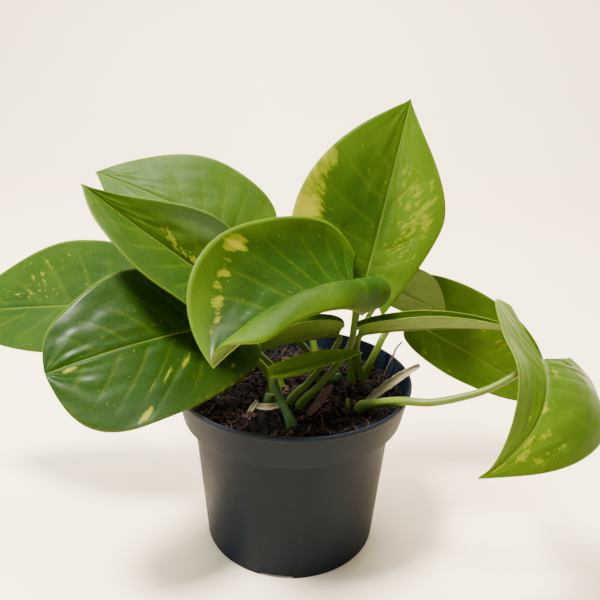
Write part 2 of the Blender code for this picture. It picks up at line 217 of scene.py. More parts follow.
def blade_finish():
    finish = Finish("leaf_upper", IOR=PLANT_IOR, Specular_IOR_Level=0.08, Coat_Roughness=0.30, **FLESH)
    here = finish.place()
    streak_place = finish.place((16, 44, 1), "blade")
    tone, pale = finish.painted("tone"), finish.painted("pale")
    vein, rib = finish.painted("vein"), finish.painted("rib")
    cloud = finish.noise(here, 45, 4)
    streak = finish.noise(streak_place, 1.0, 5, 0.6)
    blotch = finish.noise(here, 130, 3)
    fleck = finish.noise(finish.place((16, 90, 1), "blade"), 1.0, 2)
    net = finish.cells(here, 420, "DISTANCE_TO_EDGE")

    # The tone is the leaf's own yellowness, and on the centre leaf also painted shade in its cup and on the
    # top leaf also painted light shining through its right half.
    green = finish.mix((tone + cloud * 0.5 - 0.25).ease(0, 1), DEEP_GREEN, BRIGHT_GREEN)
    beside_vein = (1 - vein).ease(0.55, 1.0)
    green = finish.mix(beside_vein * 0.22, green, VEIN_GREEN)
    green = finish.mix((1 - net.ease(0.0, 0.12)) * 0.07, green, NET_GREEN)
    marbled = pale + streak * 0.9 + blotch * 0.35 - 0.88
    green = finish.mix(marbled.ease(0.0, 0.12) * 0.7, green, LIME)
    green = finish.mix(marbled.ease(0.14, 0.36) * 0.75, green, CREAM)
    specks = (fleck + pale * 0.12).ease(0.70, 0.74)
    green = finish.mix(specks * 0.7, green, LIME)
    edge = finish.painted("edge")
    green = finish.mix(edge * 0.35, green, EDGE_GREEN)
    green = finish.mix((1 - rib).ease(0.3, 0.9) * 0.75, green, RIB_GREEN)

    rough = 0.48 + cloud * 0.12 + marbled.ease(0, 0.2) * 0.08
    height = net.ease(0.0, 0.2) * 0.25 + finish.noise(here, 900, 2) * 0.35 + vein.ease(0, 0.4) * 0.35
    wax = 0.02 + finish.painted("gloss") * (0.4 + cloud)
    return finish.wear(green, rough, height, NET_DEPTH, Coat_Weight=wax)


leaf_upper = blade_finish()

# %% [markdown]
# The underside has no wax to speak of: it is greyer, paler and duller, with raised veins. It
# reads the same painted numbers, so that each vein shows on both sides at the same place.

# %% Underside of the blades
UNDER_DARK, UNDER_LIGHT = (0.055, 0.090, 0.014), (0.100, 0.150, 0.018)
UNDER_PALE, UNDER_VEIN, UNDER_RIB = (0.22, 0.22, 0.05), (0.024, 0.050, 0.006), (0.17, 0.21, 0.045)


def underside_finish():
    finish = Finish("leaf_underside", IOR=PLANT_IOR, Specular_IOR_Level=0.25, **FLESH)
    here = finish.place()
    tone, pale = finish.painted("tone"), finish.painted("pale")
    vein, rib = finish.painted("vein"), finish.painted("rib")
    cloud = finish.noise(here, 60, 4)
    net = finish.cells(here, 420, "DISTANCE_TO_EDGE")
    green = finish.mix((tone * 0.8 + cloud * 0.4 - 0.1).ease(0, 1), UNDER_DARK, UNDER_LIGHT)
    streak = finish.noise(finish.place((16, 44, 1), "blade"), 1.0, 5, 0.6)
    green = finish.mix((pale + streak * 0.9 - 0.72).ease(0.0, 0.2) * 0.5, green, UNDER_PALE)
    green = finish.mix((1 - vein).ease(0.72, 1.0) * 0.35, green, UNDER_VEIN)
    green = finish.mix((1 - rib).ease(0.3, 0.9) * 0.5, green, UNDER_RIB)
    height = net.ease(0.0, 0.2) * -0.4 + finish.noise(here, 1100, 2) * 0.4
    return finish.wear(green, 0.48 + cloud * 0.15, height, NET_DEPTH)


leaf_underside = underside_finish()

# %% [markdown]
# ## The shape of a blade
#
# A pothos blade is heart-shaped: two round lobes beside the stalk, a belly, a shoulder and a
# drip tip. It could be cut from a sheet or sculpted, but then its veins would have to be
# drawn on by hand. Here a blade is a grid in which each row is one side vein, running from
# the midrib to the margin, and the grid is laid over the blade by a formula. The veins, the
# quilting between them and the streaks of colour then follow the leaf without more work.
#
# The flat outline comes first. It is made of two Bezier arcs for each half: from the lobe
# to the belly, and from the belly over the shoulder to the tip.

# %% Outline and side veins of a flat blade
BELLY = (0.32, 0.32)
EAR = (0.36, 0.36)
FLANK = (0.5, 0.5)
DRIP = 0.06
NO_PINCH = ((0, 0.5), (0, 0.5))
PINCH_REACH = 0.22
LOBE_SHARE = 0.4              # share of the side veins that end between the lobe and the belly


def bezier(points, u):
    """Point on a Bezier curve of any degree (de Casteljau)."""
    while len(points) > 1:
        points = [a.lerp(b, u) for a, b in zip(points, points[1:])]
    return points[0]


def blade_margin(row, length, width, lobe, belly, shoulder, ear, flank, drip):
    back = Vector((-lobe, 0.42 * width))
    widest = Vector((belly * length, width))
    if row < LOBE_SHARE:
        reach = flank * (widest.x - back.x)
        corners = (back, back + Vector((0, ear * width)), widest - Vector((reach, 0)), widest)
        return bezier(corners, row / LOBE_SHARE)
    ahead = (1 - belly) * length
    corners = (widest, widest + Vector((0.35 * ahead, 0)),
               Vector((length - 0.25 * ahead, shoulder * 0.72 * width)),
               Vector((length - 0.07 * ahead, drip * width)), Vector((length, 0)))
    return bezier(corners, (row - LOBE_SHARE) / (1 - LOBE_SHARE))


def blade_point(row, share, length, *shape):
    """Point on a side vein, from the midrib (share 0) to the margin (share 1)."""
    margin = blade_margin(row, length, *shape)
    root = Vector((length * row ** 1.9, 0))
    elbow = Vector((root.x + 0.35 * (margin.x - root.x), 0.55 * margin.y))
    return bezier((root, elbow, margin), share)


print("belly of a 100 x 40 mm blade:", tuple(blade_margin(0.4, 100, 40, 12, 0.32, 1, 0.36, 0.5, 0.06)))

# %% [markdown]
# Then the flat outline is bent. The midrib is a Bezier curve from the stalk to the tip, and
# each half leaves it at its own fold angle and curls on towards its margin. A pinch adds curl
# round one place along the blade, as where a leaf is creased or a lobe hangs down.

# %% Bending the blade in space
BEND_STEPS = 8
LENGTH_STEPS = 24             # short straight steps that measure a midrib
SLOPE_STEP = 0.02             # share of a midrib over which its direction is taken


def bend_profile(distance, width, fold, curl):
    """Across and up for a half that leaves the midrib at fold and turns by curl."""
    across = up = 0.0
    for k in range(BEND_STEPS):
        angle = math.radians(fold + curl * (k + 0.5) / BEND_STEPS * distance / width)
        across += math.cos(angle) * distance / BEND_STEPS
        up += math.sin(angle) * distance / BEND_STEPS
    return across, up


def midrib(spec):
    """The four Bezier points of a leaf's midrib, and the way its upper side looks."""
    base, tip = Vector(spec["base"]) * MM, Vector(spec["tip"]) * MM
    chord = tip - base
    face = Vector(spec["face"]).normalized()
    lift = (face - face.project(chord)).normalized() * MM
    first, second = spec["bow"]
    return [base, base + chord / 3 + lift * first, base + chord * 2 / 3 + lift * second, tip], face


class Blade:
    """One leaf's bent surface: place(row, share) gives a point on it."""

    def __init__(self, spec):
        self.spec = spec
        self.rib, self.face = midrib(spec)
        steps = [bezier(self.rib, k / LENGTH_STEPS) for k in range(LENGTH_STEPS + 1)]
        self.length = sum((b - a).length for a, b in zip(steps, steps[1:]))

    def flat(self, row, share):
        side = 0 if share < 0 else 1
        spec = self.spec
        return blade_point(row, abs(share), self.length, spec["half"][side] * MM, spec["lobe"][side] * MM,
                           spec.get("belly", BELLY)[side], spec.get("shoulder", (1, 1))[side],
                           spec.get("ear", EAR)[side], spec.get("flank", FLANK)[side],
                           spec.get("drip", DRIP))

    def frame_at(self, along):
        """Point, way ahead and way up of the midrib."""
        ahead = bezier(self.rib, min(along + SLOPE_STEP, 1)) - bezier(self.rib, max(along - SLOPE_STEP, 0))
        ahead.normalize()
        return bezier(self.rib, along), ahead, (self.face - self.face.project(ahead)).normalized()

    def place(self, row, share):
        side = 0 if share < 0 else 1
        flat = self.flat(row, share)
        along = min(max(flat.x / self.length, 0.0), 1.0)
        point, ahead, up = self.frame_at(along)
        left = up.cross(ahead)
        extra, where = self.spec.get("pinch", NO_PINCH)[side]
        curl = self.spec["curl"][side] + extra * math.exp(-((along - where) / PINCH_REACH) ** 2)
        across, rise = bend_profile(flat.y, self.spec["half"][side] * MM, self.spec["fold"][side], curl)
        point = point + ahead * (flat.x - along * self.length)
        return point + left * across * (1 if side == 0 else -1) + up * rise


print("a half folded at 20 degrees and curled by 30:", bend_profile(40, 40, 20, 30))

# %% [markdown]
# ## Skin on the blade
#
# Up close a blade isn't smooth. The midrib and the side veins are sunk into the upper side,
# the green between them is quilted upwards, and the margin waves a little. All of this is
# real relief, moved along the surface's own normals, and the same numbers that shape it are
# painted on the points for the finish. Thickness comes last, from a Solidify modifier that
# gives the underside its own material.

# %% Relief, paint and thickness
ROWS = 84
COLUMNS = 60
SIDE_VEINS = 9
VEIN_SHIFT = 0.35             # the right half's side veins start between the left half's
THICKNESS = 0.5 * MM
GROOVE = 0.55 * MM
GROOVE_WIDTH = 1.0 * MM
QUILT = 0.26 * MM
WAVE = 1.1 * MM
UNDULATION = 0.5 * MM
EDGE_START = 0.965            # the outermost part of a half is its thin rim
WELD = 0.01 * MM              # points nearer than this are merged


def near(value, middle, reach):
    return math.exp(-((value - middle) / reach) ** 2)


def vein_distance(row, share):
    """0 on a side vein and 1 halfway between two."""
    return abs(math.sin(math.pi * (SIDE_VEINS * row + (VEIN_SHIFT if share > 0 else 0))))


def sum_spots(spec, kind, row, share):
    """Sum of the leaf's spots of one kind, each a soft oval on the blade."""
    return sum(strength * near(row, spot_row, long) * near(share, spot_share, wide)
               for spot_row, spot_share, long, wide, strength in spec.get(kind, ()))


# The leaf's tone: how yellow its green is, with painted shade in the centre leaf's cup and painted light
# through the top leaf's right half.
def yellowness_and_painted_light(spec, row, share):
    base, outwards, tipwards = spec["tone"]
    return base + outwards * share * share + tipwards * row + sum_spots(spec, "tints_and_painted_light", row, share)


def make_leaf(name, spec):
    blade = Blade(spec)
    bm = bmesh.new()
    bm.loops.layers.uv.new("blade")
    paint = {key: bm.verts.layers.float.new(key) for key in ("tone", "pale", "vein", "rib", "edge", "gloss")}
    bmesh.ops.create_grid(bm, x_segments=COLUMNS, y_segments=ROWS, size=1, calc_uvs=True)
    relief = {}
    for vert in bm.verts:
        row = (vert.co.y + 1) / 2
        share = math.copysign(abs(vert.co.x) ** 1.4, vert.co.x)
        flat = blade.flat(row, share)
        vein = vein_distance(row, share)
        inner = min(1, flat.y / (3 * MM)) * (1 - abs(share) ** 6)
        taper = 1 - 0.75 * row
        groove = near(flat.y, 0, GROOVE_WIDTH * (0.4 + 0.6 * taper)) * (0.3 + 0.7 * taper)
        height = QUILT * inner * (vein ** 0.8 - 0.6) * (1 - 0.5 * row) - GROOVE * groove
        swell = noise.noise(Vector((row * 5, share * 2.5, spec["seed"])))
        height += WAVE * abs(share) ** 2.5 * swell * min(1, 6 * (1 - row))
        height += UNDULATION * inner * noise.noise(Vector((row * 9, share * 6, spec["seed"] + 9)))
        vert[paint["tone"]] = yellowness_and_painted_light(spec, row, share)
        vert[paint["pale"]] = spec.get("marbled", 0.0) + sum_spots(spec, "patches", row, share)
        vert[paint["gloss"]] = sum_spots(spec, "gloss", row, share)
        vert[paint["vein"]] = 1 - (1 - vein) * inner
        vert[paint["rib"]] = min(1, flat.y / (GROOVE_WIDTH * (0.5 + 0.7 * taper)))
        vert[paint["edge"]] = max(0, (abs(share) - EDGE_START) / (1 - EDGE_START))
        relief[vert] = height * spec.get("relief", 1)
        vert.co = blade.place(row, share)
    bm.normal_update()
    for vert, height in relief.items():
        vert.co += vert.normal * height
    bmesh.ops.remove_doubles(bm, verts=bm.verts, dist=WELD)
    piece = keep(name + "_blade", bm, [leaf_upper, leaf_underside], name, slot=spec.get("slot", "leaf_green"))
    skin = piece.modifiers.new("thickness", "SOLIDIFY")
    skin.thickness = THICKNESS
    skin.offset = -1
    skin.material_offset = 1
    print(name, "blade", round(blade.length / MM), "mm long")
    return blade

# %% [markdown]
# ## The twelve leaves
#
# Each leaf repeats its CAD solid's own measures, in millimetres and degrees, so that its fine
# skin lies where the plain solid does. Added to them are what only the eye needs: its tone
# (how yellow its green is, and how that grows towards the margin and the tip), its pale
# patches, its yellower or greener places and its waxy ones, each as (row, share, row reach,
# share reach, strength). On the centre leaf the tone and one darker place are partly painted
# shade in the cup, and on the top leaf the yellower right half is partly painted light shining
# through. A row runs from 0 at the stalk to 1 at the tip, and a share from -1 at the left
# margin to 1 at the right one.

# %% Leaf measures
LEAVES = {
    "leaf_top": dict(
        base=(37, 32, 127), tip=(57, 50, 223), face=(-0.2, -0.9, 0.4), bow=(-4, -3), half=(47, 33),
        lobe=(14, 13), belly=(0.3, 0.42), shoulder=(1, 0.35), ear=(0.36, 0.05), flank=(0.5, 0.25),
        fold=(10, 12), curl=(0, 0), seed=1, tone=(0.24, 0.1, 0.26), marbled=0.06,
        # The first tint, yellower over the right half, is partly the leaf's own colour and partly painted
        # light shining through the blade from behind.
        tints_and_painted_light=((0.5, 0.6, 0.5, 0.45, 0.38), (0.48, -0.3, 0.5, 0.35, -0.22), (0.9, 0, 0.2, 1, 0.12),
               (0.45, -1, 0.12, 0.2, 0.5)),
        patches=((0.42, -0.95, 0.07, 0.16, 0.66), (0.44, -0.78, 0.03, 0.12, 0.36),
                 (0.55, -0.95, 0.05, 0.14, 0.42), (0.62, -0.92, 0.035, 0.12, 0.42),
                 (0.48, -0.75, 0.08, 0.14, 0.24), (0.62, 0.6, 0.2, 0.35, 0.21),
                 (0.38, 0.4, 0.16, 0.25, 0.18), (0.42, 0.8, 0.12, 0.2, 0.15)),
        gloss=((0.55, 0.5, 0.3, 0.4, 0.06),)),
    "leaf_centre": dict(
        base=(30, 5, 134), tip=(-32, -64, 124), face=(-0.1, 0, 1), bow=(6, 11), half=(28, 46),
        lobe=(8, 19), belly=(0.79, 0.48), shoulder=(1.3, 1.26), ear=(1.6, 0.52), flank=(0.56, 0.58),
        drip=0.3, fold=(87, 32), curl=(-137, 44), pinch=((-61, 0), (0, 0.5)), seed=2,
        # The low tone in the middle, rising towards the margin, is partly painted shade in the cup, and the
        # tint at row 0.35 is painted shade inside the cup near the stalk.
        tone=(-0.2, 0.66, 0.05),
        tints_and_painted_light=((0.5, -0.7, 0.8, 0.5, 0.04), (0.85, 0.9, 0.25, 0.3, 0.25), (0.35, 0.25, 0.15, 0.3, -0.2)),
        patches=((0.49, 0.88, 0.045, 0.11, 0.46), (0.53, 0.82, 0.035, 0.09, 0.42),
                 (0.6, 0.79, 0.02, 0.07, 0.42), (0.65, 0.74, 0.025, 0.08, 0.46),
                 (0.7, 0.75, 0.02, 0.07, 0.44), (0.76, 0.7, 0.03, 0.1, 0.48),
                 (0.82, 0.67, 0.025, 0.08, 0.46), (0.87, 0.72, 0.015, 0.06, 0.38)),
        gloss=((0.87, 0.6, 0.1, 0.25, 0.5),)),
    "leaf_front_left": dict(
        base=(-34, -6, 119), tip=(-103, -54, 114), face=(0.35, -0.6, 0.7), bow=(6, 10), half=(36, 37),
        lobe=(14, 6), belly=(0.62, 0.45), shoulder=(1.3, 0.66), drip=0.7, fold=(4, 4), curl=(-10, -10),
        slot="leaf_dark_green", relief=1.3, seed=3, tone=(-0.28, 0.08, 0.06),
        tints_and_painted_light=((0.22, -0.95, 0.16, 0.3, 0.5), (0.5, -0.8, 0.3, 0.3, 0.12), (0.5, 0.6, 0.5, 0.5, -0.15)),
        patches=((0.93, -0.2, 0.025, 0.12, 0.55), (0.56, -0.6, 0.018, 0.11, 0.45),
                 (0.5, -0.47, 0.02, 0.1, 0.48), (0.42, -0.38, 0.02, 0.1, 0.48),
                 (0.48, -0.87, 0.03, 0.08, 0.66), (0.24, -0.97, 0.12, 0.12, 0.26),
                 (0.2, -0.7, 0.02, 0.06, 0.42)),
        gloss=((0.45, -0.9, 0.35, 0.35, 0.6), (0.75, 0.7, 0.3, 0.3, 0.3), (0.4, -0.3, 0.4, 0.5, 0.08))),
    "leaf_mid_left": dict(
        base=(-28, 4, 128), tip=(-99, 0, 184), face=(0.3, -0.5, 0.8), bow=(0, -2), half=(36, 27),
        lobe=(12, 12), shoulder=(1.25, 0.15), fold=(25, 30), curl=(0, 0), relief=1.2, seed=4,
        tone=(0.06, 0.08, 0.34),
        tints_and_painted_light=((0.6, 0.6, 0.4, 0.4, 0.12), (0.5, -0.6, 0.5, 0.5, -0.22)),
        patches=((0.56, 0.1, 0.06, 0.07, 0.36), (0.62, 0.22, 0.04, 0.1, 0.38),
                 (0.5, 0.14, 0.04, 0.08, 0.36), (0.64, 0.45, 0.04, 0.15, 0.32)),
        gloss=((0.46, 0.78, 0.12, 0.2, 0.6), (0.3, 0.6, 0.2, 0.3, 0.3))),
    "leaf_back_left": dict(
        base=(-27, 40, 148), tip=(-110, 55, 181), face=(0.0, -0.6, 0.8), bow=(6, 4), half=(34, 36),
        lobe=(12, 10), shoulder=(0.7, 0.85), fold=(8, 8), curl=(0, 0), seed=5, tone=(0.34, 0.1, 0.05)),
    "leaf_far_left": dict(
        base=(-84, 15, 120), tip=(-200, 38, 102), face=(0, -0.7, 0.7), bow=(4, 4), half=(27, 38),
        lobe=(12, 12), shoulder=(0.6, 0.2), fold=(5, 5), curl=(0, 0), seed=6, tone=(0.16, 0.06, 0.05),
        marbled=0.02,
        patches=((0.52, 0.6, 0.15, 0.4, 0.17), (0.66, 0.4, 0.1, 0.3, 0.14)),
        gloss=((0.3, -0.3, 0.3, 0.5, 0.2),)),
    "leaf_right_back": dict(
        base=(63, 45, 104), tip=(164, 65, 41), face=(-0.2, -0.7, 0.6), bow=(2, 5), half=(36, 19),
        lobe=(12, -2), belly=(0.36, 0.32), shoulder=(1.3, 1), fold=(8, 8), curl=(0, 0),
        slot="leaf_dark_green", seed=7, tone=(0.3, 0.06, 0.28),
        patches=((0.27, 0.75, 0.03, 0.2, 0.38), (0.42, 0.85, 0.02, 0.06, 0.4),
                 (0.52, -0.5, 0.1, 0.2, 0.22), (0.67, -0.5, 0.06, 0.2, 0.26))),
    "leaf_hanging_right": dict(
        base=(110, -36, 118), tip=(78, -68, 77), face=(0.55, -0.65, 0.5), bow=(20, 18), half=(43, 27),
        lobe=(11, 30), belly=(-0.05, -0.07), shoulder=(0.38, 0), ear=(0.43, 0.48), flank=(0.53, 0.57),
        fold=(30, -9), curl=(-50, 40), pinch=((0, 0.5), (-32, 0.05)), seed=8, tone=(0.5, 0.1, 0.08),
        tints_and_painted_light=((0.9, 0, 0.25, 0.6, 0.3), (0.6, -0.6, 0.12, 0.2, -0.25), (0.4, 0.9, 0.5, 0.3, 0.2)),
        patches=((0.6, -0.02, 0.06, 0.06, 0.44), (0.7, -0.27, 0.04, 0.1, 0.46),
                 (0.75, -0.7, 0.03, 0.18, 0.38), (0.68, 0.35, 0.03, 0.1, 0.4),
                 (0.82, -0.4, 0.05, 0.25, 0.46), (0.93, -0.3, 0.04, 0.3, 0.5),
                 (0.77, -0.12, 0.04, 0.1, 0.48), (0.67, -0.62, 0.03, 0.1, 0.38),
                 (0.3, -0.1, 0.12, 0.05, 0.34)),
        gloss=((0.15, -0.5, 0.3, 0.5, 0.9), (0.3, 0.7, 0.4, 0.4, 0.5))),
    "leaf_lobe_back": dict(
        base=(51, 38, 125), tip=(86, 44, 107), face=(0.2, 0.9, -0.1), bow=(3, 3), half=(10, 17),
        lobe=(4, 5), fold=(0, 0), curl=(-10, -10), slot="leaf_dark_green", seed=9, tone=(0.5, 0.05, 0.0)),
    "leaf_furled_right": dict(
        base=(34, 6, 111), tip=(116, 10, 112), face=(0, -0.1, 1), bow=(3, 4), half=(9, 10), lobe=(3, 3),
        shoulder=(0.9, 0.9), fold=(80, 60), curl=(0, 0), relief=0.4, seed=10, tone=(0.55, 0.05, 0.05),
        gloss=((0.5, 0.5, 0.4, 0.6, 0.4),)),
    "leaf_folded_low": dict(
        base=(23, 4, 111), tip=(-27, 4, 97), face=(0, 0.1, 1), bow=(2, 2), half=(12, 12), lobe=(3, 3),
        fold=(60, 60), curl=(0, 0), relief=0.5, seed=11, tone=(0.45, 0.1, 0.0)),
    "leaf_young": dict(
        base=(-9, -17, 97), tip=(33, -12, 108), face=(0, -0.3, 1), bow=(-2, 1), half=(7, 7), lobe=(3, 3),
        fold=(40, 30), curl=(0, 0), relief=0.4, seed=12, tone=(0.75, 0.1, 0.0), marbled=0.03),
}
blades = {name: make_leaf(name, spec) for name, spec in LEAVES.items()}

# %% [markdown]
# ## Stalks that grow into their leaves
#
# A leaf stalk is fleshy and nearly round, with a shallow channel on top, and it goes on under
# the blade as the midrib's raised back, thinner and thinner towards the tip. A bevelled curve
# would give a plain pipe. Instead a grid is wrapped round the stalk's centre line, so that the
# channel and the swellings are one radius that changes round the stalk and along it.

# %% Finish of the stalks
def stalk_finish(name, dark, light, roughness=0.34):
    finish = Finish(name, IOR=PLANT_IOR, Specular_IOR_Level=0.2, Coat_Weight=0.02, Coat_Roughness=0.25)
    here = finish.place()
    along = finish.place((26, 1.2, 1), "sleeve")
    fibre = finish.noise(along, 1.0, 4)
    cloud = finish.noise(here, 70, 3)
    pale = finish.painted("pale")
    green = finish.mix((fibre * 0.6 + cloud * 0.7 - 0.15).ease(0.1, 0.9), dark, light)
    green = finish.mix(pale * 0.8, green, (0.090, 0.115, 0.011))
    spots = finish.noise(here, 520, 2).ease(0.66, 0.74)
    green = finish.mix(spots * 0.4, green, (0.18, 0.15, 0.05))
    return finish.wear(green, roughness + cloud * 0.12, fibre + finish.noise(here, 700, 2) * 0.4, 0.10 * MM)


stalk_green = stalk_finish("stalk_green", (0.022, 0.050, 0.004), (0.075, 0.115, 0.010))
stalk_dark = stalk_finish("stalk_dark", (0.005, 0.022, 0.004), (0.022, 0.060, 0.010))

# %% A sleeve round a centre line
SLEEVE_SIDES = 20
SLEEVE_RINGS = 72
CHANNEL = 0.22                # depth of the stalk's channel, as a share of its radius


def spine(knots, u):
    """Point at share u of a smooth curve through the knots (Catmull-Rom)."""
    last = len(knots) - 1
    k = min(int(u * last), last - 1)
    t = u * last - k
    start, end = knots[k], knots[k + 1]
    before = knots[k - 1] if k else start * 2 - end
    after = knots[k + 2] if k + 2 <= last else end * 2 - start
    return 0.5 * (start * 2 + (end - before) * t + (before * 2 - start * 5 + end * 4 - after) * t ** 2
                  + (start * 3 - before - end * 3 + after) * t ** 3)


def carried_frames(knots, rings):
    """Centre and two cross directions at each ring, carried along without twisting."""
    up = Vector((0, -1, 0.3))
    frames = []
    for k in range(rings + 1):
        u = min(max((k - 1) / (rings - 2), 0), 1)
        ahead = (spine(knots, min(u + 0.01, 1)) - spine(knots, max(u - 0.01, 0))).normalized()
        up = (up - up.project(ahead)).normalized()
        frames.append((u, spine(knots, u), up, up.cross(ahead)))
    return frames


def make_sleeve(name, knots, radius_at, material, slot, pale_at=lambda u: 0.0, channel=CHANNEL,
                sides=SLEEVE_SIDES, rings=SLEEVE_RINGS):
    """A closed tube; radius_at(u, angle) is its radius, and the end rings close to a point."""
    bm = bmesh.new()
    bm.loops.layers.uv.new("sleeve")
    pale = bm.verts.layers.float.new("pale")
    bmesh.ops.create_grid(bm, x_segments=sides, y_segments=rings, size=1, calc_uvs=True)
    frames = carried_frames(knots, rings)
    for vert in bm.verts:
        ring = round((vert.co.y + 1) / 2 * rings)
        angle = vert.co.x * math.pi
        u, centre, up, side = frames[ring]
        from_end = min(ring, rings - ring)
        radius = (0, 0.8, 1)[min(from_end, 2)] * radius_at(u, angle)
        radius *= 1 - channel * near(angle, 0, 0.55)
        vert[pale] = pale_at(u)
        vert.co = centre + (up * math.cos(angle) + side * math.sin(angle)) * radius
    bmesh.ops.remove_doubles(bm, verts=bm.verts, dist=WELD)
    bmesh.ops.recalc_face_normals(bm, faces=bm.faces)
    return keep(name + "_skin", bm, [material], name, slot=slot)


# %% The twelve stalks
STEM_DEPTH = 12 * MM
KNEE = 0.16                   # the swelling just under the blade
FOOT_SWELL = 0.25             # and the one at the soil
STALKS = {
    "stalk_top": dict(leaf="leaf_top", radius=(2.1, 1.3),
                      path=((31, 8, 80), (30, 10, 95), (31, 14, 106), (34, 24, 118))),
    "stalk_centre": dict(leaf="leaf_centre", radius=(2.2, 1.3),
                         path=((4, -15, 80), (12, -12, 88), (21, -7, 97), (28, -1, 106), (29.5, 1.5, 115),
                               (30, 3, 124))),
    "stalk_folded_low": dict(leaf="leaf_folded_low", radius=(2.1, 1.2),
                             path=((-1, -11, 80), (7, -8, 88), (15, -4, 97), (21, 0, 105))),
    "stalk_furled_right": dict(leaf="leaf_furled_right", radius=(2.1, 1.3),
                               path=((36, 10, 80), (34, 8, 92), (32, 6, 104))),
    "stalk_right_back": dict(leaf="leaf_right_back", radius=(2.3, 1.6),
                             path=((39, 19, 80), (44, 21, 92), (49, 26, 101), (56, 37, 104))),
    "stalk_lobe_back": dict(leaf="leaf_lobe_back", radius=(1.8, 1.2),
                            path=((32, 22, 80), (36, 28, 100), (42, 31, 113))),
    "stalk_hanging_right": dict(leaf="leaf_hanging_right", radius=(2.7, 1.3), pale=0.7,
                                path=((33, -17, 80), (41, -25, 87.6), (51, -33, 93.4), (64, -38, 96),
                                      (84, -40, 103), (98, -39, 111))),
    "stalk_young": dict(leaf="leaf_young", radius=(2.6, 1.3), dark=True,
                        path=((0, -36, 80), (-4, -28, 86), (-8, -20, 92))),
    "stalk_front_left": dict(leaf="leaf_front_left", radius=(2.2, 1.5),
                             path=((-9, -10, 80), (-12, -5, 91), (-21, -3, 101), (-31, 1, 112))),
    "stalk_mid_left": dict(leaf="leaf_mid_left", radius=(2.0, 1.3),
                           path=((12, 12, 80), (8, 13, 95), (-6, 13, 110), (-19, 13, 120))),
    "stalk_back_left": dict(leaf="leaf_back_left", radius=(1.9, 1.3),
                            path=((14, 22, 80), (8, 28, 102), (-8, 35, 128), (-19, 39, 142))),
    "stalk_far_left": dict(leaf="leaf_far_left", radius=(2.0, 1.4),
                           path=((-6, 4, 80), (-16, 9, 94), (-42, 13, 108), (-68, 15, 117))),
}
RIB_REACH = 0.9               # share of the blade along which the stalk runs on as its rib


def make_stalk(name, spec):
    knots = [Vector(point) * MM for point in spec["path"]]
    knots.insert(0, knots[0] - Vector((0, 0, STEM_DEPTH)))
    blade = blades[spec["leaf"]]
    start = len(knots)
    for along in (0.0, 0.1, 0.25, 0.4, 0.55, 0.7, 0.8, RIB_REACH):
        point, _, up = blade.frame_at(along)
        sink = THICKNESS + GROOVE * 0.5 + (1.1 if along == 0 else 0.35 * (1 - along)) * MM
        knots.append(point - up * sink)
    last = len(knots) - 1
    low, high = (r * MM for r in spec["radius"])

    def radius_at(u, angle):
        k = u * last
        if k < start:
            swelling = low * FOOT_SWELL * near(k, 1, 0.5) + high * KNEE * near(k, start - 0.6, 0.5)
            return low + (high - low) * k / start + swelling
        return max(0.2 * MM, high * 0.8 * (1 - (k - start) / (last - start)) ** 1.2)

    material = stalk_dark if spec.get("dark") else stalk_green
    return make_sleeve(name, knots, radius_at, material, "stalk_green",
                       pale_at=lambda u: spec.get("pale", 0.25) * (0.4 + 0.6 * min(1, u * last / start)))


for name, spec in STALKS.items():
    make_stalk(name, spec)
print(len(STALKS), "stalks")

# %% [markdown]
# ## Stubs, a root and dry sheaths
#
# The stubs are cut ends of older stems, and the thread is an aerial root that has dried
# black. They reuse the stalk's sleeve with other radii. A sheath is what is left of the
# wrapper that a new leaf grows out of: a thin papery strip, cupped across and frayed.

# %% Stubs and root
STUBS = {
    "stub_left": dict(path=((-12, -17, 74), (-12, -17, 81), (-11, -15, 86)), radius=(3.2, 2.6), pale=0.5,
                      material=stalk_dark, slot="stalk_green"),
    "stub_centre": dict(path=((20, 12, 74), (20, 12, 80), (25, 8, 84)), radius=(3.0, 2.4), pale=0.1,
                        material=stalk_dark, slot="leaf_dark_green"),
    "stub_right": dict(path=((27, -16, 74), (27, -16, 80), (27, -15, 84)), radius=(1.6, 1.0), pale=1.0,
                       material=stalk_green, slot="dry_sheath_pale"),
}


def make_stub(name, spec):
    low, high = (r * MM for r in spec["radius"])

    def radius_at(u, angle):
        ripple = 1 + 0.07 * math.sin(3 * angle + 9 * u)
        return (low + (high - low) * u) * ripple

    make_sleeve(name, [Vector(p) * MM for p in spec["path"]], radius_at, spec["material"], spec["slot"],
                pale_at=lambda u: spec["pale"] * u, channel=0, rings=24)


for name, spec in STUBS.items():
    make_stub(name, spec)


def root_finish():
    finish = Finish("dried_root", Specular_IOR_Level=0.3)
    crust = finish.noise(finish.place(), 800, 3)
    colour = finish.mix(crust.ease(0.3, 0.7), (0.008, 0.006, 0.005), (0.060, 0.045, 0.030))
    return finish.wear(colour, 0.75 + crust * 0.1, crust, 0.3 * MM)


root_path = [Vector(p) * MM for p in ((49, 17, 75), (50, 18, 82), (53, 18, 91), (55, 21, 95), (58, 20, 100))]
make_sleeve("root_thread", root_path,
            lambda u, angle: (0.75 - 0.3 * u + 0.22 * noise.noise(Vector((u * 40, angle, 3)))) * MM,
            root_finish(), "root", channel=0, sides=10, rings=60)
print("3 stubs and 1 root")

